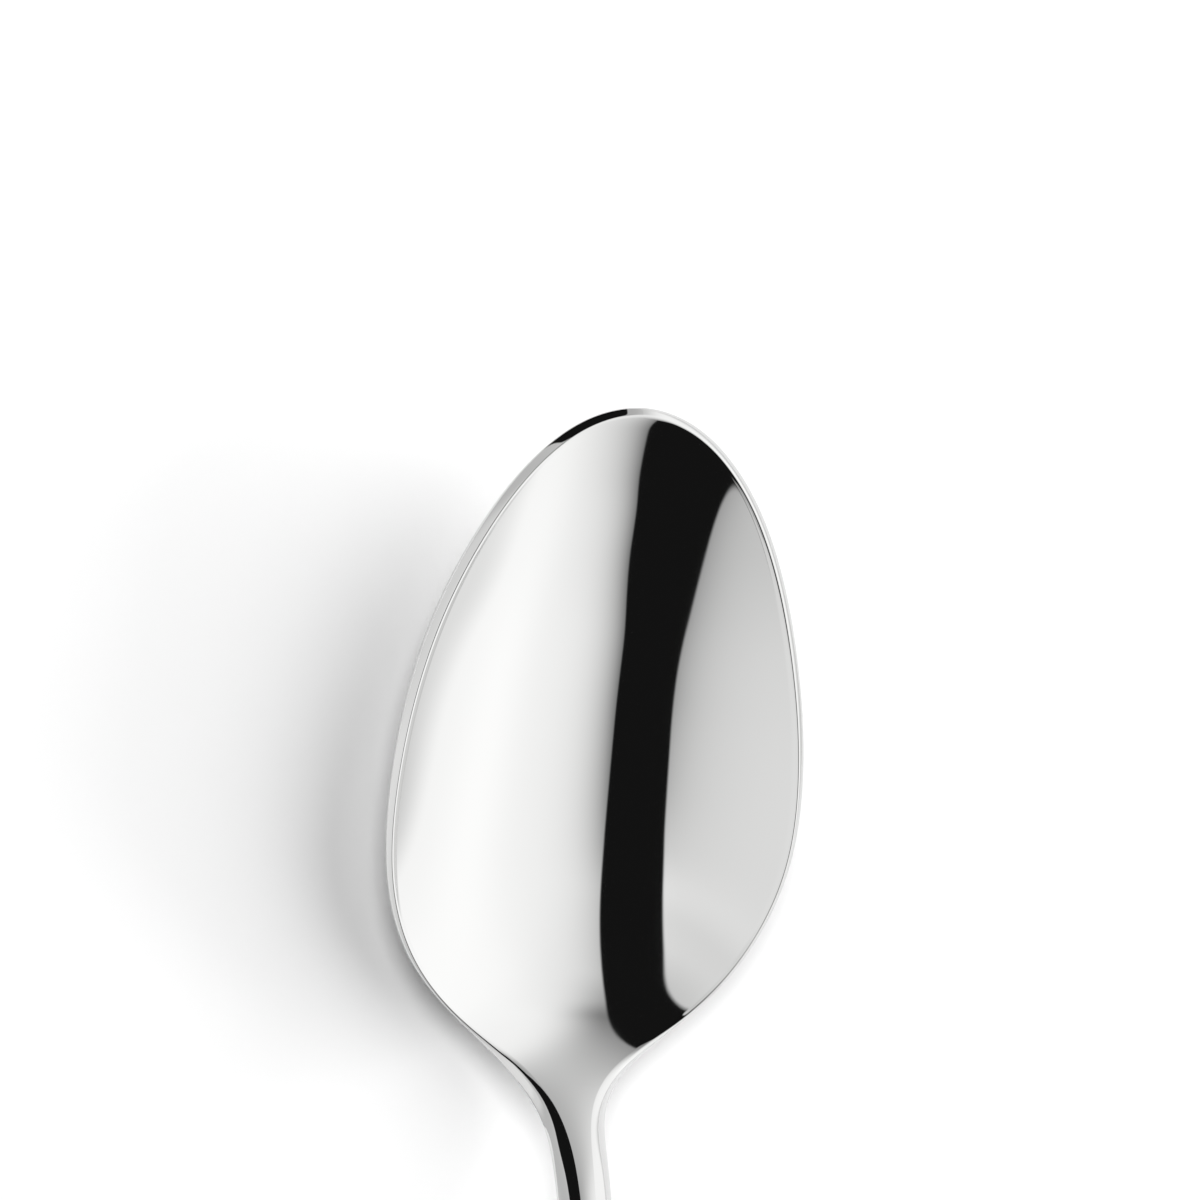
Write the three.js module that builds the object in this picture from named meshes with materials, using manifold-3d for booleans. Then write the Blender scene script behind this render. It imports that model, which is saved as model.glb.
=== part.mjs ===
// A dessert spoon in polished stainless steel, lying as it rests on a table.
// It is one drawn piece, divided here where a cutler divides the work: bowl, neck and handle.
// Millimetres. +Y runs towards the tip of the bowl, +Z is up, and the table is z = 0.
// "From tip" is a distance measured back along the spoon from the tip of the bowl.

import * as THREE from "three";
import { mergeVertices } from "three/addons/utils/BufferGeometryUtils.js";
import Module from "manifold-3d";

const wasm = await Module();
wasm.setup();

// Plan view: the bowl
const overallLength = 185;
const bowlWidth = 39;
const widestFromTip = 35.3;
const tipFullness = 12; // how far the rounded tip runs square to the axis before it turns
const foreFullness = 14.4; // how far the side runs straight, ahead of the widest place
const aftFullness = 13.4; // the same, behind the widest place
const shoulderFromTip = 58; // where the outline turns from bowl into neck
const shoulderWidth = 16;
const shoulderAngle = 51; // degrees between the outline there and the axis
const shoulderFullness = 8.2;
const filletFullness = 5.5; // the hollow curve that runs from the shoulder into the neck

// Plan view: the neck and the handle
const neckWidth = 5.1;
const neckFromTip = 70.5; // where the neck is narrowest
const neckFilletFullness = 7.4;
const neckRun = 6; // length of the parallel stretch of the neck
const handleWidth = 20;
const handleWidestFromEnd = 9.5;
const handleFlare = 34; // how far the neck runs on before the handle opens out
const handleFullness = 42; // how far the handle's sides run straight, ahead of its widest place
const endFullness = 5.4; // the same, behind the widest place
const endRoundness = 5.6; // how far the rounded end runs square to the axis

// Side view: heights above the table
const bowlDepth = 6.95; // from the rim to the floor, at the deepest place
const deepestFromTip = 35;
const tipLift = 2.3; // the rim at the tip stands this much above the rim at the deepest place
const foreLift = 0.7; // the same, ahead of the deepest place
const foreFromTip = 18;
const heelFromTip = 53; // where the rim is lowest, just before it climbs into the neck
const heelDrop = 2.45;
const climbFromTip = 62; // a place on the climb from the heel to the neck
const climbLift = 0.4;
const neckHeight = 16.2; // upper edge of the neck, where it is narrowest
const archHeight = 23.2; // top of the arch of the handle
const archFromTip = 91;
const fallFromTip = 140; // a place on the long fall of the handle
const fallHeight = 12.2;
const restLength = 12; // flat stretch on which the end of the handle lies
const restLead = 6; // a place this far ahead of the flat, and how high the handle stands there
const restLeadRise = 2.1;
const restRise = 0.35; // how high the handle stands where the flat begins
const bellyClearance = 0.04; // the bowl's belly just clears the table plane

// Sections: how deeply the bowl is dished and how strongly the neck and handle are crowned
const tipDish = 1.2; // dish at places along the bowl, against 1 at the deepest place
const foreDish = 1.12;
const aftDish = 0.84;
const aftFromTip = 47;
const heelDish = 0.72;
const dishEndFromTip = 61;
const neckCrown = 0.55;
const handleCrown = 0.5;

// Thickness: at the middle of each section and down its edge
const tipThickness = 0.7;
const floorThickness = 1.6;
const heelThickness = 2;
const neckThickness = 4;
const archThickness = 3.5;
const endThickness = 2.2;
const rimEdge = 0.7;
const neckEdge = 2.4;
const endEdge = 1.2;
const edgeInset = 0.65; // plan width of the rounded edge
const underInset = 0.2; // the underside starts this far inside the outline

// Division into pieces
const bowlCutFromTip = 62;
const handleCutFromTip = 84;

// Fineness of the surface
const rowsPerCurve = [16, 14, 10, 3, 15, 8];
const columns = 16;
const edgeSteps = 4;

const restFromTip = overallLength - restLength;
const handleWidestFromTip = overallLength - handleWidestFromEnd;
const footCut = bellyClearance * 3; // taken off the end of the handle to leave a flat
const endTopEdge = endThickness - footCut - handleCrown;

// Smooth line through stations [from tip, value]: a natural cubic spline, held level past its ends
function smoothLine(stations) {
  const at = stations.map((station) => station[0]);
  const value = stations.map((station) => station[1]);
  const last = at.length - 1;
  const bend = new Array(last + 1).fill(0);
  const carry = new Array(last + 1).fill(0);
  for (let i = 1; i < last; i++) {
    const before = at[i] - at[i - 1];
    const after = at[i + 1] - at[i];
    const turn = (value[i + 1] - value[i]) / after - (value[i] - value[i - 1]) / before;
    const pivot = 2 * (before + after) - before * carry[i - 1];
    carry[i] = after / pivot;
    bend[i] = (6 * turn - before * bend[i - 1]) / pivot;
  }
  for (let i = last - 1; i > 0; i--) {
    bend[i] -= carry[i] * bend[i + 1];
  }
  return (fromTip) => {
    const s = THREE.MathUtils.clamp(fromTip, at[0], at[last]);
    let i = 0;
    while (i < last - 1 && s > at[i + 1]) {
      i += 1;
    }
    const span = at[i + 1] - at[i];
    const a = (at[i + 1] - s) / span;
    const b = 1 - a;
    const sag = ((a ** 3 - a) * bend[i] + (b ** 3 - b) * bend[i + 1]) * (span * span) / 6;
    return a * value[i] + b * value[i + 1] + sag;
  };
}

// Upper edge of the whole spoon, seen from the side, with the rim at a given height
function upperEdgeAt(height) {
  return smoothLine([
    [0, height + tipLift],
    [foreFromTip, height + foreLift],
    [deepestFromTip, height],
    [heelFromTip, height - heelDrop],
    [climbFromTip, height + climbLift],
    [neckFromTip, neckHeight],
    [archFromTip, archHeight - handleCrown],
    [fallFromTip, fallHeight],
    [restFromTip - restLead, endTopEdge + restLeadRise],
    [restFromTip, endTopEdge + restRise],
    [(restFromTip + overallLength) / 2, endTopEdge],
    [overallLength, endTopEdge],
  ]);
}

// Vertical thickness at the middle of the section, and down the edge
const middleThickness = smoothLine([
  [0, tipThickness],
  [deepestFromTip, floorThickness],
  [heelFromTip, heelThickness],
  [neckFromTip, neckThickness],
  [archFromTip, archThickness],
  [restFromTip, endThickness],
  [overallLength, endThickness],
]);
const edgeThickness = smoothLine([
  [0, tipThickness],
  [deepestFromTip, rimEdge],
  [heelFromTip, rimEdge],
  [neckFromTip, neckEdge],
  [restFromTip, endEdge],
  [overallLength, endEdge],
]);

// Dish of the bowl as a share of its curvature at the deepest place, gone where the neck begins
const dishShare = smoothLine([
  [0, tipDish],
  [foreFromTip, foreDish],
  [deepestFromTip, 1],
  [aftFromTip, aftDish],
  [heelFromTip, heelDish],
  [dishEndFromTip, 0],
]);
const dishCurvature = bowlDepth / (bowlWidth / 2 - edgeInset) ** 2;

// Crown of the neck and the handle, none in the bowl
function crown(fromTip) {
  const rise = THREE.MathUtils.smootherstep(fromTip, dishEndFromTip, neckFromTip);
  const settle = THREE.MathUtils.smootherstep(fromTip, neckFromTip, archFromTip);
  return rise * THREE.MathUtils.lerp(neckCrown, handleCrown, settle);
}

// Half of the outline in plan, from the tip to the end, as points (half width, from tip)
function outlinePoints() {
  const half = bowlWidth / 2;
  const neckHalf = neckWidth / 2;
  const handleHalf = handleWidth / 2;
  const angle = THREE.MathUtils.degToRad(shoulderAngle);
  const along = new THREE.Vector2(-Math.sin(angle), Math.cos(angle));
  const tip = new THREE.Vector2(0, 0);
  const widest = new THREE.Vector2(half, widestFromTip);
  const shoulder = new THREE.Vector2(shoulderWidth / 2, shoulderFromTip);
  const neckStart = new THREE.Vector2(neckHalf, neckFromTip);
  const neckEnd = new THREE.Vector2(neckHalf, neckFromTip + neckRun);
  const handleWidest = new THREE.Vector2(handleHalf, handleWidestFromTip);
  const end = new THREE.Vector2(0, overallLength);
  const curves = [
    new THREE.CubicBezierCurve(
      tip,
      new THREE.Vector2(tipFullness, 0),
      new THREE.Vector2(half, widestFromTip - foreFullness),
      widest,
    ),
    new THREE.CubicBezierCurve(
      widest,
      new THREE.Vector2(half, widestFromTip + aftFullness),
      shoulder.clone().addScaledVector(along, -shoulderFullness),
      shoulder,
    ),
    new THREE.CubicBezierCurve(
      shoulder,
      shoulder.clone().addScaledVector(along, filletFullness),
      new THREE.Vector2(neckHalf, neckFromTip - neckFilletFullness),
      neckStart,
    ),
    new THREE.LineCurve(neckStart, neckEnd),
    new THREE.CubicBezierCurve(
      neckEnd,
      new THREE.Vector2(neckHalf, neckEnd.y + handleFlare),
      new THREE.Vector2(handleHalf, handleWidestFromTip - handleFullness),
      handleWidest,
    ),
    new THREE.CubicBezierCurve(
      handleWidest,
      new THREE.Vector2(handleHalf, handleWidestFromTip + endFullness),
      new THREE.Vector2(endRoundness, overallLength),
      end,
    ),
  ];
  const stations = [];
  curves.forEach((curve, index) => {
    const steps = rowsPerCurve[index];
    for (let i = index === 0 ? 0 : 1; i <= steps; i++) {
      const share = i / steps;
      const tangent = curve.getTangentAt(share);
      stations.push({ point: curve.getPointAt(share), outward: new THREE.Vector2(tangent.y, -tangent.x) });
    }
  });
  return stations;
}

// A place on the outline, moved inwards in plan by inset: [half width, from tip]
function insetStation(station, inset) {
  const place = station.point.clone().addScaledVector(station.outward, -inset);
  return [Math.max(place.x, 0), place.y];
}

// How far the middle of the top stands above the upper edge: the crown less the dish
function middleRise(fromTip, half) {
  return crown(fromTip) - dishCurvature * dishShare(fromTip) * half * half;
}

// Height of the rim with which the belly of the bowl comes down to the table
function restingRimHeight(stations) {
  let height = bowlDepth;
  for (let pass = 0; pass < 3; pass++) {
    const edge = upperEdgeAt(height);
    const keel = stations
      .map((station) => insetStation(station, edgeInset))
      .filter(([, fromTip]) => fromTip < heelFromTip)
      .map(([half, fromTip]) => edge(fromTip) + middleRise(fromTip, half) - middleThickness(fromTip));
    height += bellyClearance - Math.min(...keel);
  }
  return height;
}

const outline = outlinePoints();
const rimHeight = restingRimHeight(outline);
const upperEdge = upperEdgeAt(rimHeight);

function heightOfTop(fromTip, half, across) {
  return upperEdge(fromTip) + middleRise(fromTip, half) * (1 - across * across);
}

function heightOfUnderside(fromTip, half, across) {
  const edge = upperEdge(fromTip) - edgeThickness(fromTip);
  const middle = heightOfTop(fromTip, half, 0) - middleThickness(fromTip);
  return edge - (edge - middle) * (1 - across * across);
}

function spoonPoint(half, fromTip, height) {
  return new THREE.Vector3(half, overallLength / 2 - fromTip, height);
}

// One closed section: across the top, down the right edge, back underneath, up the left edge
function section(station) {
  const loop = [];
  const [topHalf, topFrom] = insetStation(station, edgeInset);
  for (let j = 0; j <= columns; j++) {
    const across = (2 * j) / columns - 1;
    loop.push(spoonPoint(across * topHalf, topFrom, heightOfTop(topFrom, topHalf, across)));
  }
  const [underHalf, underFrom] = insetStation(station, underInset);
  const edge = edgePoints(station);
  edge.forEach((place) => loop.push(place));
  for (let j = columns; j >= 0; j--) {
    const across = (2 * j) / columns - 1;
    loop.push(spoonPoint(across * underHalf, underFrom, heightOfUnderside(underFrom, underHalf, across)));
  }
  edge.reverse().forEach((place) => loop.push(new THREE.Vector3(-place.x, place.y, place.z)));
  return loop;
}

// The rounded edge on the right side: a quarter turn from the top to the outline, then under it
function edgePoints(station) {
  const places = [];
  for (let k = 1; k < edgeSteps; k++) {
    const turn = (k / edgeSteps) * Math.PI;
    const reach = turn < Math.PI / 2 ? edgeInset : underInset;
    const [half, from] = insetStation(station, reach * (1 - Math.sin(turn)));
    const drop = (edgeThickness(from) * (1 - Math.cos(turn))) / 2;
    places.push(spoonPoint(half, from, upperEdge(from) - drop));
  }
  return places;
}

// Loft through the sections; the ones at the tip and the end fold flat and close the body
function loft(sections) {
  const positions = [];
  const addTriangle = (a, b, c) => {
    if (a.distanceTo(b) > 1e-6 && b.distanceTo(c) > 1e-6 && c.distanceTo(a) > 1e-6) {
      positions.push(...a.toArray(), ...b.toArray(), ...c.toArray());
    }
  };
  for (let i = 0; i + 1 < sections.length; i++) {
    const here = sections[i];
    const next = sections[i + 1];
    for (let j = 0; j < here.length; j++) {
      const k = (j + 1) % here.length;
      addTriangle(here[j], next[j], here[k]);
      addTriangle(here[k], next[j], next[k]);
    }
  }
  const geometry = new THREE.BufferGeometry();
  geometry.setAttribute("position", new THREE.Float32BufferAttribute(positions, 3));
  return geometry;
}

function solidFrom(geometry) {
  const bare = new THREE.BufferGeometry();
  bare.setAttribute("position", geometry.getAttribute("position"));
  bare.setIndex(geometry.getIndex());
  const merged = mergeVertices(bare, 1e-4);
  return new wasm.Manifold(
    new wasm.Mesh({
      numProp: 3,
      vertProperties: new Float32Array(merged.getAttribute("position").array),
      triVerts: new Uint32Array(merged.getIndex().array),
    }),
  );
}

function geometryFrom(solid) {
  const mesh = solid.getMesh();
  const geometry = new THREE.BufferGeometry();
  geometry.setAttribute("position", new THREE.BufferAttribute(mesh.vertProperties, 3));
  geometry.setIndex(new THREE.BufferAttribute(mesh.triVerts, 1));
  geometry.computeVertexNormals();
  return geometry;
}

// The space above the table between two distances from the tip
function slab(fromTip, toTip) {
  const width = 2 * Math.max(bowlWidth, handleWidth);
  const height = 2 * (archHeight + rimHeight + tipLift);
  const box = new THREE.BoxGeometry(width, toTip - fromTip, height);
  box.translate(0, overallLength / 2 - (fromTip + toTip) / 2, height / 2);
  return solidFrom(box);
}

const polishedSteel = () => new THREE.MeshStandardMaterial({ color: 0xd9dadb, roughness: 0.12, metalness: 1 });

const body = solidFrom(loft(outline.map(section)));
const pastEnds = 5;
const pieces = [
  ["bowl", -pastEnds, bowlCutFromTip],
  ["neck", bowlCutFromTip, handleCutFromTip],
  ["handle", handleCutFromTip, overallLength + pastEnds],
];

const spoon = new THREE.Group();
pieces.forEach(([name, fromTip, toTip]) => {
  const mesh = new THREE.Mesh(geometryFrom(body.intersect(slab(fromTip, toTip))), polishedSteel());
  mesh.name = name;
  spoon.add(mesh);
});

export default spoon;
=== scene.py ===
import math

import bpy
import numpy as np
from mathutils import Matrix, Vector


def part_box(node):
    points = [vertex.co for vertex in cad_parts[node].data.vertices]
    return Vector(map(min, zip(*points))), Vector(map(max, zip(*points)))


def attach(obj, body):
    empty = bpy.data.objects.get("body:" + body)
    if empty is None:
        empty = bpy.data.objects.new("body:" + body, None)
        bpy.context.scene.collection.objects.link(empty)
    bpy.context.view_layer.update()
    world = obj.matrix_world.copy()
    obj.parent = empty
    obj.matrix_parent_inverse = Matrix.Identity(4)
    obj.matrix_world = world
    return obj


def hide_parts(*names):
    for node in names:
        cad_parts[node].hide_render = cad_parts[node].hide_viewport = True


# Dessert spoon of polished steel: one smooth skin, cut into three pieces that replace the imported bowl, neck
# and handle
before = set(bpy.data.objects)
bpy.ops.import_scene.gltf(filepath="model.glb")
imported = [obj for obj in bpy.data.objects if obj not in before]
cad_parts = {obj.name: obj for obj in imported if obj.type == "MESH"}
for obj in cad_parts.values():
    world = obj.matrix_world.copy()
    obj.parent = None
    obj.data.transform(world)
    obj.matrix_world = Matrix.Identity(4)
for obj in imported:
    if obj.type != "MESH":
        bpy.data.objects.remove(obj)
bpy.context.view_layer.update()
mm = 0.001
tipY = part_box("bowl")[1].y  # distances along the spoon are counted back from the tip
bowlEnd = (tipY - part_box("neck")[1].y) / mm
neckEnd = (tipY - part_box("neck")[0].y) / mm

# Stations are (millimetres back from the tip, value), and between them runs a smooth line
spoonShape = {
    "outline": [  # half width
        (0, 0), (1.3, 5.04), (5, 9.6), (12, 14.11), (22, 17.7), (34, 19.46), (44, 18.51), (51, 15.28),
        (56, 10.52), (60, 5.85), (63.5, 3.28), (68, 2.64), (74, 2.56), (86.4, 2.74), (100.4, 3.71),
        (123, 6.28), (147, 8.84), (163, 9.75), (175.5, 10), (179.3, 9.23), (182.3, 7.1),
        (184.3, 3.93), (185, 0),
    ],
    "outlineSamples": 160,  # points that measure the outline once it is moved inwards
    "upperEdge": [  # height of the rim, then of the upper edges of neck and handle
        (0, 10.89), (10, 10.27), (20, 9.1), (30, 8.75), (40, 8.18), (48, 6.79), (54, 6.11), (59, 7.09),
        (63, 10.1), (67, 13.75), (71, 16.4), (75, 18.5), (91, 22.7), (140, 12.2), (167, 3.68),
        (173, 1.93), (179, 1.58), (185, 1.58),
    ],
    "rimInset": [  # from the outline in to where the top has the height of the upper edge
        (0, 0.88), (30, 0.92), (42, 0.74), (55, 0.62), (63, 0.6), (75, 0.65), (185, 0.5),
    ],
    "hollow": [  # how fast the top falls from the edges to the middle; below nothing it is a crown
        (0, 0.0222), (8, 0.0279), (18, 0.0271), (30, 0.023), (40, 0.0205), (48, 0.0174), (54, 0.0146),
        (60, 0.0034), (64, -0.0232), (67, -0.04), (70, -0.048), (74, -0.05), (80, -0.05), (88, -0.05),
        (98, -0.04), (112, -0.022), (130, -0.0105), (150, -0.0065), (170, -0.005), (185, -0.005),
    ],
    "wallFlat": [  # how much straighter the walls are than a plain parabola
        (0, -0.079), (12, 0.1769), (22, 0.1626), (31, 0.1114), (42, 0.0663), (52, 0.0955), (60, 0.15),
        (66, 0.1), (72, 0), (90, 0), (185, 0),
    ],
    "wallBase": 30,  # square millimetres that keep the walls alike where the bowl is narrow
    "middleWall": [  # thickness of the metal along the middle
        (0, 0.75), (14, 1.25), (31, 1.55), (53, 2), (62, 3), (70.5, 4), (91, 3.5), (173, 2.2), (185, 2.2),
    ],
    "underStations": [  # where the underside is fitted to that thickness
        4, 8, 14, 22, 31, 40, 48, 54, 58, 61, 64, 67, 70, 73, 76, 80, 86, 94, 104, 118, 135, 152, 166,
        174, 179, 182,
    ],
    "edgeHeight": [  # from the upper edge down to the lower one
        (0, 0.66), (31, 0.6), (53, 0.64), (60, 1.02), (66, 1.38), (75, 1.5), (91, 1.6), (173, 1.2),
        (185, 1.2),
    ],
    "bevelWidth": [  # from the outline in to the crest
        (0, 0.68), (30, 0.72), (42, 0.52), (51, 0.34), (57, 0.3), (61, 0.74), (66, 1.08), (75, 1.15),
        (91, 0.8), (185, 0.35),
    ],
    "bevelDrop": [  # from the crest down to the outer side
        (0, 0.6), (8, 0.58), (18, 0.54), (30, 0.5), (42, 0.37), (51, 0.24), (57, 0.22), (61, 0.62),
        (66, 0.95), (75, 1), (91, 0.7), (185, 0.3),
    ],
    "bevelBulge": [  # how far the bevel stands above a straight slope
        (0, 0.06), (12, 0.06), (26, 0.02), (45, 0.01), (56, 0.01), (62, 0.06), (67, 0.14), (75, 0.16),
        (91, 0.12), (185, 0.03),
    ],
    "bevelStart": [  # share of the way from the crest to the outer side where the bevel's flat starts
        (0, 0.2), (12, 0.26), (46, 0.27), (58, 0.35), (185, 0.35),
    ],
    "bevelEnd": 0.7,  # share of that way where the flat ends
    "crestLip": [  # how far the crest stands above the run of the top
        (0, 0.02), (6, 0.04), (14, 0.1), (44, 0.1), (54, 0.03), (60, 0), (70, 0), (185, 0),
    ],
    "innerRound": [  # from the crest in to where the top starts
        (0, 0.22), (7, 0.22), (14, 0.28), (30, 0.31), (45, 0.28), (50, 0.24), (53, 0.25), (57, 0.28),
        (61, 0.5), (66, 0.65), (91, 0.7), (185, 0.5),
    ],
    "lowerInset": [  # from the outline in to the lower edge
        (0, 0.12), (50, 0.15), (63, 0.45), (70, 0.6), (91, 0.5), (185, 0.35),
    ],
    "lowerRound": [  # how far above the lower edge its rounding starts
        (0, 0.05), (50, 0.06), (63, 0.25), (70, 0.4), (91, 0.45), (185, 0.25),
    ],
    "underGap": 0.2,  # added to innerRound, from the lower edge in to where the underside starts
    "rowSpread": [(0, 0), (0.35, 44), (0.7, 94), (1, 206)],  # share of the rows, how far round the outline
    "rows": 460,
    "topColumns": 96,
    "columnSpread": (0.55, 0.45),  # shares of an even spacing and of one that is closer towards the rim
    "underColumns": 56,
    "edgePoints": 24,
    "mergeDigits": 8,  # points that agree to so many digits of a metre are one
}


# Cubic spline through the stations: each station's bend solves one small matrix, the ends are free unless
# a slope is given, and past the ends the line runs on straight
def smoothLine(stations, startSlope=None, endSlope=None):
    place, value = np.array(stations, float).T
    gap = np.diff(place)
    slope = np.diff(value) / gap
    inner = np.arange(1, len(place) - 1)
    matrix = np.eye(len(place))
    right = np.zeros(len(place))
    matrix[inner, inner - 1] = gap[:-1]
    matrix[inner, inner] = 2 * (gap[:-1] + gap[1:])
    matrix[inner, inner + 1] = gap[1:]
    right[inner] = 6 * np.diff(slope)
    if startSlope is not None:
        matrix[0, :2] = 2 * gap[0], gap[0]
        right[0] = 6 * (slope[0] - startSlope)
    if endSlope is not None:
        matrix[-1, -2:] = gap[-1], 2 * gap[-1]
        right[-1] = 6 * (endSlope - slope[-1])
    bend = np.linalg.solve(matrix, right)
    firstSlope = slope[0] - gap[0] * (2 * bend[0] + bend[1]) / 6
    lastSlope = slope[-1] + gap[-1] * (bend[-2] + 2 * bend[-1]) / 6

    # Between two stations: the straight mix of their values, and a bow that their bends give
    def valueAt(where):
        where = np.asarray(where, float)
        held = np.clip(where, place[0], place[-1])
        cell = np.clip(np.searchsorted(place, held) - 1, 0, len(gap) - 1)
        ahead = (held - place[cell]) / gap[cell]
        behind = 1 - ahead
        straight = behind * value[cell] + ahead * value[cell + 1]
        bow = (behind**3 - behind) * bend[cell] + (ahead**3 - ahead) * bend[cell + 1]
        before = np.minimum(where - place[0], 0) * firstSlope
        after = np.maximum(where - place[-1], 0) * lastSlope
        return straight + bow * gap[cell] ** 2 / 6 + (before + after)

    return valueAt


# Weights of a cubic B-spline on a row of control points, clamped at both ends: each sample is a mix of the
# four nearest points, built up degree by degree
def splineWeights(samples, controls, degree=3):
    spans = controls - degree
    hair = 1e-9  # keeps the last sample inside the last span
    knots = np.concatenate((np.zeros(degree), np.arange(spans + 1), np.full(degree, spans)))
    where = np.minimum(np.linspace(0, spans, samples), spans - hair)[:, None]
    weights = ((knots[:-1] <= where) & (where < knots[1:])).astype(float)
    for size in range(1, degree + 1):
        left = knots[size:-1] - knots[: -size - 1]
        right = knots[size + 1 :] - knots[1:-size]
        rising = np.where(left > 0, (where - knots[: -size - 1]) / np.where(left > 0, left, 1), 0)
        falling = np.where(right > 0, (knots[size + 1 :] - where) / np.where(right > 0, right, 1), 0)
        weights = rising * weights[:, :-1] + falling * weights[:, 1:]
    return weights


shape = {name: smoothLine(spoonShape[name]) for name in (
    "upperEdge", "rimInset", "hollow", "wallFlat", "middleWall", "edgeHeight", "bevelWidth", "bevelDrop",
    "bevelBulge", "bevelStart", "crestLip", "innerRound", "lowerInset", "lowerRound", "rowSpread",
)}

# Half the outline as a curve over its own length: it leaves the tip and meets the end square to the axis
outlineStations = np.array(spoonShape["outline"], float)
outlineSteps = np.hypot(*np.diff(outlineStations, axis=0).T)
outlineLength = np.concatenate(([0], np.cumsum(outlineSteps)))
alongAt = smoothLine(np.column_stack((outlineLength, outlineStations[:, 0])), 0, 0)
halfAt = smoothLine(np.column_stack((outlineLength, outlineStations[:, 1])), 1, -1)


# The outline moved inwards: each point steps in along the outline's own normal by the inset at its place
def insetOutline(where, insetAt):
    step = 1e-3  # millimetres to either side, for the outline's direction
    forward = alongAt(where + step) - alongAt(where - step)
    sideways = halfAt(where + step) - halfAt(where - step)
    length = np.hypot(forward, sideways)
    along = alongAt(where)
    inset = insetAt(along)
    return halfAt(where) - inset * forward / length, along + inset * sideways / length


# Half width of the inset outline, squared, as a smooth line along the spoon
def squareLine(insetAt):
    samples = np.linspace(0, outlineLength[-1], spoonShape["outlineSamples"])
    half, along = insetOutline(samples, insetAt)
    return smoothLine(np.column_stack((along, half**2)))


rimSquare = squareLine(shape["rimInset"])
lowSquare = squareLine(shape["lowerInset"])


# Top: from the upper edge's height, down by hollow times (edge half width squared minus x squared), less a
# share of the same in fourth powers that straightens the walls
def topHeight(x, along):
    square = rimSquare(along)
    straighter = shape["wallFlat"](along) / (np.maximum(square, 0) + spoonShape["wallBase"])
    depth = square - x**2 - straighter * (square**2 - x**4)
    return shape["upperEdge"](along) - shape["hollow"](along) * depth


# Lower edge: the upper edge's height less the height of the edge
def lowerEdge(along):
    return shape["upperEdge"](along) - shape["edgeHeight"](along)


# How round the underside is, so that the middle has its wall: its drop over the half width squared
underPlaces = np.array(spoonShape["underStations"], float)
underDrop = lowerEdge(underPlaces) - topHeight(0, underPlaces) + shape["middleWall"](underPlaces)
belly = smoothLine(np.column_stack((underPlaces, underDrop / lowSquare(underPlaces))))


# Underside: from the lower edge, down by belly times (edge half width squared minus x squared), and never
# below the table
def underHeight(x, along):
    return np.maximum(lowerEdge(along) - belly(along) * (lowSquare(along) - x**2), 0)


# From the outline in to where the top starts: the bevel's width and the round inside the crest
def topInset(along):
    return shape["bevelWidth"](along) + shape["innerRound"](along)


# From the outline in to where the underside starts: the lower edge's inset, the same round and a gap
def underInset(along):
    return shape["lowerInset"](along) + shape["innerRound"](along) + spoonShape["underGap"]


# One closed ring round the spoon for each row: top from left to right, down the right edge by a B-spline on
# eight control points, underside back to the left, up the left edge
def spoonRings(where):
    topHalf, topAlong = insetOutline(where, topInset)
    crestHalf, crestAlong = insetOutline(where, shape["bevelWidth"])
    outHalf, outAlong = insetOutline(where, np.zeros_like)
    lowHalf, lowAlong = insetOutline(where, shape["lowerInset"])
    underHalf, underAlong = insetOutline(where, underInset)
    crestHeight = topHeight(crestHalf, crestAlong) + shape["crestLip"](crestAlong)
    inside = np.stack((topHalf, topAlong, topHeight(topHalf, topAlong)), 1)
    crest = np.stack((crestHalf, crestAlong, crestHeight), 1)
    outer = np.stack((outHalf, outAlong, crestHeight - shape["bevelDrop"](outAlong)), 1)
    lower = np.stack((outHalf, outAlong, lowerEdge(outAlong) + shape["lowerRound"](outAlong)), 1)
    foot = np.stack((lowHalf, lowAlong, underHeight(lowHalf, lowAlong)), 1)
    under = np.stack((underHalf, underAlong, underHeight(underHalf, underAlong)), 1)

    # The bevel's flat: two points on the way from crest to outer side, raised by a parabola
    bulge = np.outer(shape["bevelBulge"](outAlong), (0, 0, 1))
    shares = shape["bevelStart"](outAlong)[:, None], spoonShape["bevelEnd"]
    flats = [crest + share * (outer - crest) + 4 * share * (1 - share) * bulge for share in shares]
    controls = np.stack((inside, crest, *flats, outer, lower, foot, under))
    weights = splineWeights(spoonShape["edgePoints"], len(controls))
    edge = np.einsum("mk,krc->rmc", weights, controls)  # in each row, each edge point as a mix of controls

    # Top and underside: the columns' shares of the half width, with the heights that belong there
    even = np.linspace(-1, 1, spoonShape["topColumns"] + 1)
    evenShare, closeShare = spoonShape["columnSpread"]
    across = evenShare * even + closeShare * np.sin(even * math.pi / 2)
    topX = topHalf[:, None] * across
    topPlace = topAlong[:, None] + 0 * across
    top = np.stack((topX, topPlace, topHeight(topX, topPlace)), 2)
    back = np.linspace(1, -1, spoonShape["underColumns"] + 1)
    underX = underHalf[:, None] * back
    underPlace = underAlong[:, None] + 0 * back
    bottom = np.stack((underX, underPlace, underHeight(underX, underPlace)), 2)
    rightEdge = edge[:, 1:-1]  # its two ends are the top's and the underside's own
    leftEdge = rightEdge[:, ::-1] * np.array((-1, 1, 1))
    rings = np.concatenate((top, rightEdge, bottom, leftEdge), 1)
    return np.stack((rings[..., 0] * mm, tipY - rings[..., 1] * mm, rings[..., 2] * mm), 2)


# Rows spread along the outline, with one moved onto each cut between the pieces
def spoonRows():
    where = shape["rowSpread"](np.linspace(0, 1, spoonShape["rows"] + 1))
    where = where * outlineLength[-1] / where[-1]
    along = alongAt(where)
    cuts = [int(np.argmin(abs(along - cut))) for cut in (bowlEnd, neckEnd)]
    where[cuts] = np.interp((bowlEnd, neckEnd), along, where)
    return where, cuts


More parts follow.
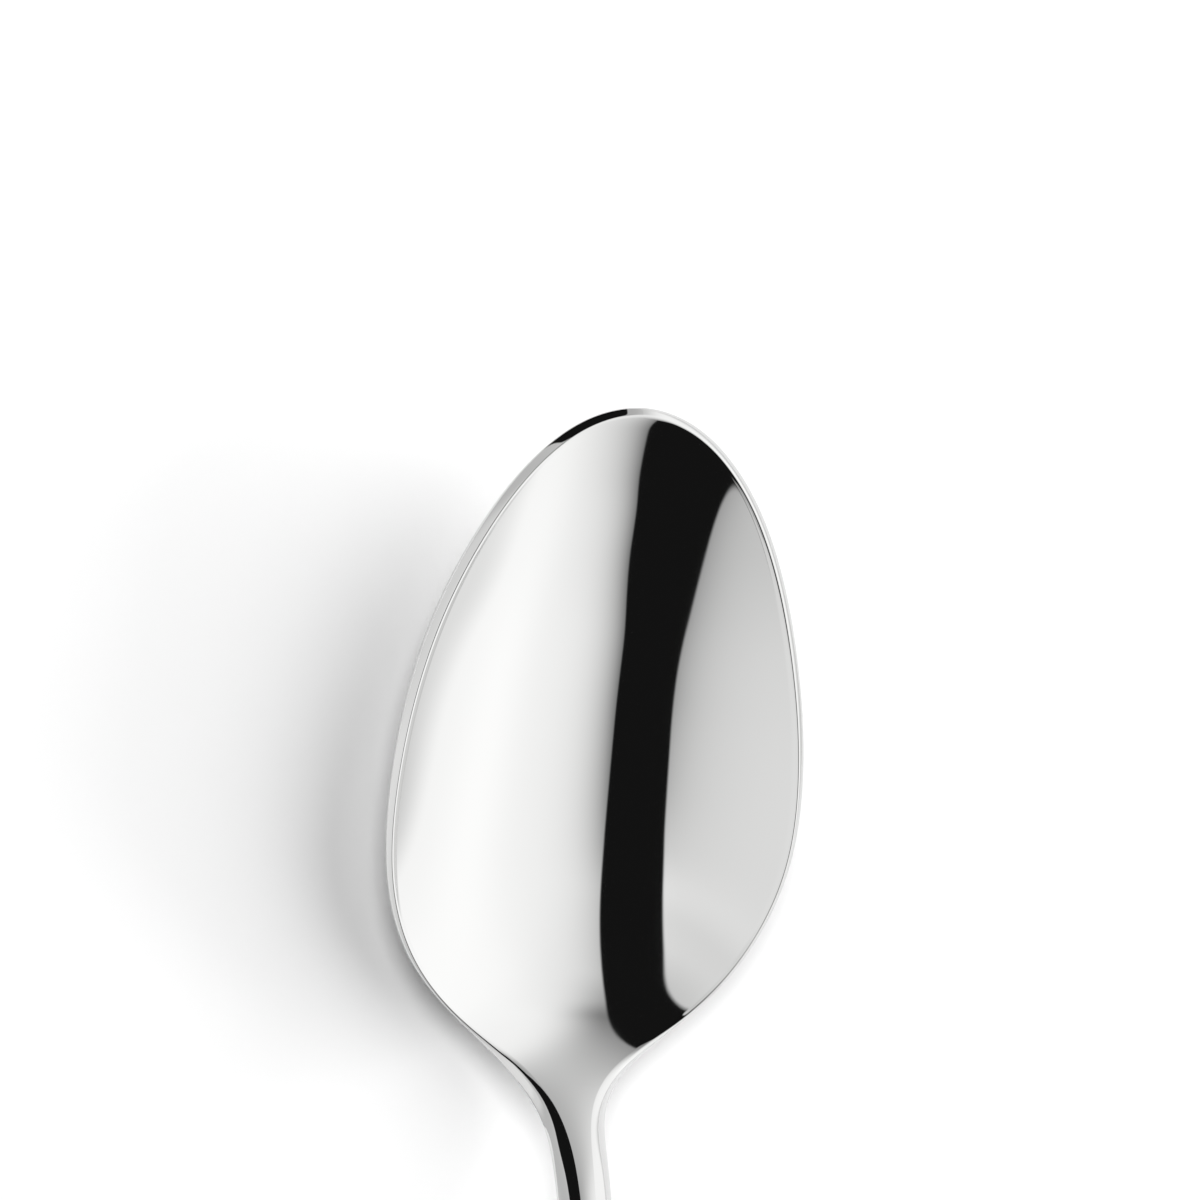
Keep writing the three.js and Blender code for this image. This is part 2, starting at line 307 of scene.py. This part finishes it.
rowPlaces, cuts = spoonRows()
rings = spoonRings(rowPlaces)
rowCount, ringCount = rings.shape[:2]
rounded = np.round(rings.reshape(-1, 3), spoonShape["mergeDigits"])
points, vertexOf = np.unique(rounded, axis=0, return_inverse=True)
vertexOf = vertexOf.reshape(rowCount, ringCount)
nextOf = np.roll(vertexOf, -1, 1)
quads = np.stack((vertexOf[:-1], vertexOf[1:], nextOf[1:], nextOf[:-1]), 2)  # row, place in it, corner

# Normals of the whole skin, so that the pieces meet without a line: the sum of the faces' own normals
firstDiagonals = points[quads[..., 2]] - points[quads[..., 0]]
secondDiagonals = points[quads[..., 3]] - points[quads[..., 1]]
faceNormals = np.cross(firstDiagonals, secondDiagonals)
skinNormals = np.zeros_like(points)
for corner in range(4):
    np.add.at(skinNormals, quads[..., corner].ravel(), faceNormals.reshape(-1, 3))
skinNormals /= np.linalg.norm(skinNormals, axis=1)[:, None]
print("skin worked out:", len(points), "points, lowest", round(points[:, 2].min() / mm, 3), "mm")


# A piece of the skin between two rows, closed by a flat face at each cut; where two of a quad's corners
# meet, at the tip or at the end, it is a triangle
def skinPiece(name, node, firstRow, lastRow, material):
    faces = quads[firstRow:lastRow].reshape(-1, 4)
    startMeets = faces[:, 0] == faces[:, 3]
    endMeets = faces[:, 1] == faces[:, 2]
    whole = faces[~startMeets & ~endMeets]
    tipTriangles = faces[startMeets & ~endMeets][:, :3]
    endTriangles = faces[endMeets & ~startMeets][:, [0, 1, 3]]
    pointed = np.concatenate((tipTriangles, endTriangles))
    lids = []
    if firstRow > 0:
        lids.append((vertexOf[firstRow], (0, 1, 0)))
    if lastRow < rowCount - 1:
        lids.append((vertexOf[lastRow][::-1], (0, -1, 0)))
    corners = np.concatenate([whole.ravel(), pointed.ravel()] + [lid for lid, facing in lids])
    used, local = np.unique(corners, return_inverse=True)
    lidSizes = [len(lid) for lid, facing in lids]
    sizes = np.concatenate((np.full(len(whole), 4), np.full(len(pointed), 3), lidSizes)).astype(np.int32)
    mesh = bpy.data.meshes.new(name)
    mesh.vertices.add(len(used))
    mesh.vertices.foreach_set("co", points[used].astype(np.float32).ravel())
    mesh.loops.add(len(corners))
    mesh.loops.foreach_set("vertex_index", local.ravel().astype(np.int32))
    mesh.polygons.add(len(sizes))
    mesh.polygons.foreach_set("loop_start", (np.cumsum(sizes) - sizes).astype(np.int32))
    mesh.polygons.foreach_set("use_smooth", np.ones(len(sizes), bool))
    mesh.update(calc_edges=True)
    mesh.validate()
    normals = skinNormals[corners]
    start = whole.size + pointed.size
    for lid, facing in lids:
        normals[start : start + len(lid)] = facing
        start += len(lid)
    mesh.normals_split_custom_set(normals.astype(np.float32))
    mesh.materials.append(material)
    piece = bpy.data.objects.new(name, mesh)
    bpy.context.scene.collection.objects.link(piece)
    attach(piece, "root")
    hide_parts(node)
    print(name, "made:", len(sizes), "faces")


polish = {
    "colour": (0.685, 0.685, 0.682),  # the steel itself, and where a cloth has left it a shade duller
    "wipedColour": (0.675, 0.676, 0.675),
    "roughness": (0.02, 0.045),
    "roughFrom": (0.1, 0.45),  # marks times haze, from the smoothest to the roughest
    "wipeScale": (420, 34, 420),  # wiping runs along the spoon, so the marks are long in Y
    "wipeDetail": 4,
    "hazeScale": 38,
    "hazeDetail": 2,
    "markStrength": 0.004,
    "markDepth": 0.0002,  # metres
}


# Mirror polish: long noise along the spoon for wiping marks, wide soft noise for haze; their product shifts
# colour and roughness a little, and the marks dent the surface by a hair
def steelMaterial():
    material = bpy.data.materials.new("polishedSteel")
    material.use_nodes = True
    nodes = material.node_tree.nodes
    links = material.node_tree.links
    shader = nodes["Principled BSDF"]
    place = nodes.new("ShaderNodeTexCoord")
    stretch = nodes.new("ShaderNodeMapping")
    stretch.inputs["Scale"].default_value = polish["wipeScale"]
    marks = nodes.new("ShaderNodeTexNoise")
    marks.inputs["Scale"].default_value = 1
    marks.inputs["Detail"].default_value = polish["wipeDetail"]
    haze = nodes.new("ShaderNodeTexNoise")
    haze.inputs["Scale"].default_value = polish["hazeScale"]
    haze.inputs["Detail"].default_value = polish["hazeDetail"]
    both = nodes.new("ShaderNodeMath")
    both.operation = "MULTIPLY"
    tint = nodes.new("ShaderNodeMix")
    tint.data_type = "RGBA"  # its colours are inputs 6 and 7 and output 2
    tint.inputs[6].default_value = (*polish["colour"], 1)
    tint.inputs[7].default_value = (*polish["wipedColour"], 1)
    rough = nodes.new("ShaderNodeMapRange")
    rough.inputs["From Min"].default_value = polish["roughFrom"][0]
    rough.inputs["From Max"].default_value = polish["roughFrom"][1]
    rough.inputs["To Min"].default_value = polish["roughness"][0]
    rough.inputs["To Max"].default_value = polish["roughness"][1]
    dent = nodes.new("ShaderNodeBump")
    dent.inputs["Strength"].default_value = polish["markStrength"]
    dent.inputs["Distance"].default_value = polish["markDepth"]
    shader.inputs["Metallic"].default_value = 1
    links.new(place.outputs["Object"], stretch.inputs["Vector"])
    links.new(stretch.outputs["Vector"], marks.inputs["Vector"])
    links.new(place.outputs["Object"], haze.inputs["Vector"])
    links.new(marks.outputs["Fac"], both.inputs[0])
    links.new(haze.outputs["Fac"], both.inputs[1])
    links.new(both.outputs[0], tint.inputs["Factor"])
    links.new(tint.outputs[2], shader.inputs["Base Color"])
    links.new(both.outputs[0], rough.inputs["Value"])
    links.new(rough.outputs["Result"], shader.inputs["Roughness"])
    links.new(marks.outputs["Fac"], dent.inputs["Height"])
    links.new(dent.outputs["Normal"], shader.inputs["Normal"])
    return material


polishedSteel = steelMaterial()
skinPiece("spoonBowl", "bowl", 0, cuts[0], polishedSteel)
skinPiece("spoonNeck", "neck", cuts[0], cuts[1], polishedSteel)
skinPiece("spoonHandle", "handle", cuts[1], rowCount - 1, polishedSteel)

tableTop = {"reach": 1.6, "colour": (0.985, 0.985, 0.985), "roughness": 0.9, "shine": 0}


# A flat square table top at height zero, matt and of one colour: corners at plus and minus reach
def tableFloor():
    side = np.array((-1, 1)) * tableTop["reach"]
    x, y = np.meshgrid(side, side)
    grid = np.stack((x.ravel(), y.ravel(), np.zeros(4)), 1)
    mesh = bpy.data.meshes.new("tableTop")
    mesh.from_pydata(grid.tolist(), [], [(0, 1, 3, 2)])
    material = bpy.data.materials.new("paleTable")
    material.use_nodes = True
    shader = material.node_tree.nodes["Principled BSDF"]
    shader.inputs["Base Color"].default_value = (*tableTop["colour"], 1)
    shader.inputs["Roughness"].default_value = tableTop["roughness"]
    shader.inputs["Specular IOR Level"].default_value = tableTop["shine"]
    mesh.materials.append(material)
    floor = bpy.data.objects.new("tableTop", mesh)
    bpy.context.scene.collection.objects.link(floor)


tableFloor()
print("table laid")

# The studio that the steel mirrors: a wide softbox at the right, a grey panel at the left and a dark slot
# between them. Edges are drawn on a flat sheet one unit overhead, and a curved one is
# X = middle + lean Y + sweep root((Y - turn)^2 + width^2). Depths inside an edge and the stretches, which
# are given as (start, end), are measured on the direction's own X, Y and Z.
studio = {
    # Light is full less a loss at the edge, which fades with depth. Along easedFrom, in Y, a share of the
    # loss is taken back. Along easedTo it is given again, and along wideFrom the fade grows by wider: each
    # of the two also makes the fall steeper. Along weakFrom the loss shrinks by weaker.
    "softbox": {
        "middle": -0.2724, "lean": -0.2566, "sweep": 0.4278, "turn": -0.6935, "width": 0.4382,
        "full": 1.304, "loss": 1.082, "fade": 0.1839,
        "eased": 0.47, "easedFrom": (-0.3, 0.1), "easedTo": (0.42, 0.6),
        "wider": 0.09, "wideFrom": (0.62, 0.9),
        "weaker": 0.36, "weakFrom": (0.5, 0.9),
    },
    "panel": {
        "middle": -0.415, "lean": 0.3925, "sweep": 0.2475, "turn": 0.3334, "width": 0.3976,
        "full": 1.039, "loss": 0.5816, "fade": 0.1717,
        "eased": 1.19, "easedFrom": (-0.36, 0.05),
    },
    # The panel's far edge is X = middle + lean Y. Its near edge is across X + Y + overhead = 0, for the
    # directions whose Z is above low.
    "panelCorner": {"middle": 0.2504, "lean": -0.7825, "round": 0.07},
    "panelEnd": {"across": 0.37, "overhead": 1.535, "round": 0.12, "low": 0.555},
    "panelDims": [{"share": 0.13, "from": (-0.08, 0.12)}, {"share": 0.27, "from": (0.2, 0.5)}],  # along Y
    # A soft bright stripe on the softbox about across X + along Y + Z = 0: it starts along X, ends along Y
    "brightRun": {
        "across": -0.6088, "along": -0.4482, "width": 0.2729, "light": 0.1175,
        "from": (0.3, 0.6), "ends": (0.35, 0.62),
    },
    "horizon": {"light": 0.82, "height": (0, 0.17), "from": (0.3, 0.7)},  # the table's far side, right
    "slot": 0.0091,  # light in the dark slot
    "edgeBlur": (-0.004, 0.012),  # depths between which an edge comes in
    "roomLight": 0.02,  # even light for everything that is not a mirror
    "tint": (1, 1, 0.996),
}


class Sums:
    # Small helper for sums in shader nodes: each call adds one Math node and gives its output
    def __init__(self, tree):
        self.tree = tree

    def __call__(self, operation, *values):
        node = self.tree.nodes.new("ShaderNodeMath")
        node.operation = operation
        for socket, value in zip(node.inputs, values):
            if isinstance(value, (int, float)):
                socket.default_value = value
            else:
                self.tree.links.new(value, socket)
        return node.outputs[0]

    # From 0 at low to 1 at high by a smooth step
    def smooth(self, value, low, high):
        node = self.tree.nodes.new("ShaderNodeMapRange")
        node.interpolation_type = "SMOOTHSTEP"
        node.inputs["From Min"].default_value = low
        node.inputs["From Max"].default_value = high
        self.tree.links.new(value, node.inputs["Value"])
        return node.outputs["Result"]


# World: glossy rays see the studio, the camera sees white, and everything else gets one light all round
def studioWorld():
    world = bpy.data.worlds.new("studioWorld")
    world.use_nodes = True
    bpy.context.scene.world = world
    tree = world.node_tree
    sums = Sums(tree)
    place = tree.nodes.new("ShaderNodeTexCoord")
    split = tree.nodes.new("ShaderNodeSeparateXYZ")
    tree.links.new(place.outputs["Generated"], split.inputs[0])
    x, y, z = split.outputs

    # X of a direction on a straight edge: middle Z + lean Y
    def straightEdge(part):
        return sums("MULTIPLY_ADD", z, part["middle"], sums("MULTIPLY", y, part["lean"]))

    # X of a direction on a curved edge: middle Z + lean Y + sweep root((Y - turn Z)^2 + (width Z)^2)
    def curvedEdge(part):
        offset = sums("MULTIPLY_ADD", z, -part["turn"], y)
        wide = sums("MULTIPLY", z, part["width"])
        root = sums("SQRT", sums("ADD", sums("MULTIPLY", offset, offset), sums("MULTIPLY", wide, wide)))
        return sums("MULTIPLY_ADD", root, part["sweep"], straightEdge(part))

    # The loss at an edge, below nothing: minus loss, and eased times loss given back
    def easedLoss(part, eased):
        return sums("MULTIPLY_ADD", eased, part["loss"] * part["eased"], -part["loss"])

    # Light at a depth inside an edge: full + loss e^-((depth / fade)^power)
    def glow(depth, full, loss, fade, power):
        steps = sums("DIVIDE", sums("MAXIMUM", depth, 0), fade)
        fall = sums("EXPONENT", sums("MULTIPLY", sums("POWER", steps, power), -1))
        return sums("MULTIPLY_ADD", fall, loss, full)

    # 1 inside an edge and 0 outside, with a blur between
    def inside(depth):
        return sums.smooth(depth, *studio["edgeBlur"])

    # Softbox: its glow, the bright stripe on it, and near the horizon the far side of the table
    box = studio["softbox"]
    boxDepth = sums("SUBTRACT", x, curvedEdge(box))
    again = sums.smooth(y, *box["easedTo"])
    wide = sums.smooth(y, *box["wideFrom"])
    eased = sums("MULTIPLY", sums.smooth(y, *box["easedFrom"]), sums("SUBTRACT", 1, again))
    boxLoss = sums("MULTIPLY_ADD", sums.smooth(y, *box["weakFrom"]), box["weaker"], easedLoss(box, eased))
    boxFade = sums("MULTIPLY_ADD", wide, box["wider"], box["fade"])
    boxPower = sums("ADD", sums("ADD", again, wide), 1)
    boxLight = glow(boxDepth, box["full"], boxLoss, boxFade, boxPower)
    stripe = studio["brightRun"]
    off = sums("MULTIPLY_ADD", y, stripe["along"], sums("MULTIPLY_ADD", x, stripe["across"], z))
    ridge = sums("EXPONENT", sums("MULTIPLY", sums("MULTIPLY", off, off), -1 / stripe["width"] ** 2))
    ridge = sums("MULTIPLY", ridge, sums.smooth(x, *stripe["from"]))
    ridge = sums("MULTIPLY", ridge, sums("SUBTRACT", 1, sums.smooth(y, *stripe["ends"])))
    boxLight = sums("MULTIPLY_ADD", ridge, stripe["light"], boxLight)
    horizon = studio["horizon"]
    low = sums("SUBTRACT", 1, sums.smooth(z, *horizon["height"]))
    low = sums("MULTIPLY", low, sums.smooth(x, *horizon["from"]))
    boxLight = sums("MULTIPLY_ADD", sums("SUBTRACT", horizon["light"], boxLight), low, boxLight)

    # Panel: its glow inside the curved and the far edge, dimmed along Y, and cut off at the near edge
    panel = studio["panel"]
    corner = studio["panelCorner"]
    panelEdge = sums("SMOOTH_MIN", curvedEdge(panel), straightEdge(corner), corner["round"])
    panelDepth = sums("SUBTRACT", panelEdge, x)
    panelLoss = easedLoss(panel, sums.smooth(y, *panel["easedFrom"]))
    panelLight = glow(panelDepth, panel["full"], panelLoss, panel["fade"], 1)
    for dim in studio["panelDims"]:
        kept = sums("MULTIPLY_ADD", sums.smooth(y, *dim["from"]), -dim["share"], 1)
        panelLight = sums("MULTIPLY", panelLight, kept)
    end = studio["panelEnd"]
    endDepth = sums("MULTIPLY_ADD", x, end["across"], sums("MULTIPLY_ADD", z, end["overhead"], y))
    endDepth = sums("MAXIMUM", endDepth, sums("SUBTRACT", end["low"], z))
    panelDepth = sums("SMOOTH_MIN", panelDepth, endDepth, end["round"])

    light = sums("MULTIPLY_ADD", boxLight, inside(boxDepth), studio["slot"])
    light = sums("MULTIPLY_ADD", panelLight, inside(panelDepth), light)
    rays = tree.nodes.new("ShaderNodeLightPath")
    glossy = rays.outputs["Is Glossy Ray"]
    camera = rays.outputs["Is Camera Ray"]
    evenLight = sums("MULTIPLY_ADD", camera, 1 - studio["roomLight"], studio["roomLight"])
    seen = sums("MULTIPLY", light, glossy)
    level = sums("MULTIPLY_ADD", evenLight, sums("SUBTRACT", 1, glossy), seen)
    background = tree.nodes["Background"]
    background.inputs["Color"].default_value = (*studio["tint"], 1)
    tree.links.new(level, background.inputs["Strength"])


studioWorld()

# Degrees round from +X, degrees up, how wide the lamp looks in degrees, and its strength
lamps = {
    "softLamp": {"turn": 24, "height": 26, "spread": 90, "strength": 3.3},
    "lowLamp": {"turn": 0, "height": 10, "spread": 24, "strength": 2.5},
    "topLamp": {"turn": 132, "height": 60, "spread": 24, "strength": 1.72},
}


# Lamps for the table's shadow, a very wide one and a low one at the right and one high up at the left: each
# is a sun in the direction of its turn and height, and its wide disc gives the shadow a wide edge
def shadowLamp(name, values):
    lamp = bpy.data.lights.new(name, "SUN")
    lamp.energy = values["strength"]
    lamp.angle = math.radians(values["spread"])
    turn = math.radians(values["turn"])
    height = math.radians(values["height"])
    level = math.cos(height)
    towards = Vector((math.cos(turn) * level, math.sin(turn) * level, math.sin(height)))
    sun = bpy.data.objects.new(name, lamp)
    sun.rotation_euler = towards.to_track_quat("Z", "Y").to_euler()
    sun.location = towards
    sun.visible_glossy = False  # the steel doesn't mirror the lamps
    bpy.context.scene.collection.objects.link(sun)


for lampName, lampValues in lamps.items():
    shadowLamp(lampName, lampValues)
print("studio lit")

cameraView = {
    "leanAcross": -20,  # degrees that the view leans from straight down, to the left and towards the tip
    "leanAlong": 7.1975,
    "roll": 5.494,
    "aim": (-0.597, 74.597, 5.9),  # millimetres in the frame, at the middle of the image
    "distance": 1000,
    "pixelsPerMillimetre": 11.233,
    "imageSize": 1200,
    "sensorWidth": 36,
    "nearest": 0.01,  # metres
}


# Camera at distance from aim along the leaning view, rolled about it; the lens gives the scale at aim
def photoCamera():
    leanAcross = math.tan(math.radians(cameraView["leanAcross"]))
    leanAlong = math.tan(math.radians(cameraView["leanAlong"]))
    toCamera = Vector((leanAcross, leanAlong, 1)).normalized()
    up = (Vector((0, 1, 0)) - toCamera * toCamera.y).normalized()
    right = up.cross(toCamera)
    roll = math.radians(cameraView["roll"])
    imageRight = math.cos(roll) * right + math.sin(roll) * up
    imageUp = math.cos(roll) * up - math.sin(roll) * right
    data = bpy.data.cameras.new("photoCamera")
    focal = cameraView["pixelsPerMillimetre"] * cameraView["distance"]
    data.sensor_width = cameraView["sensorWidth"]
    data.lens = cameraView["sensorWidth"] * focal / cameraView["imageSize"]
    data.clip_start = cameraView["nearest"]
    camera = bpy.data.objects.new("photoCamera", data)
    place = (Vector(cameraView["aim"]) + toCamera * cameraView["distance"]) * mm
    turned = Matrix((imageRight, imageUp, toCamera)).transposed().to_4x4()
    camera.matrix_world = Matrix.Translation(place) @ turned
    bpy.context.scene.collection.objects.link(camera)
    bpy.context.scene.camera = camera


photoCamera()
bpy.context.scene.view_settings.view_transform = "Standard"
print("camera placed")
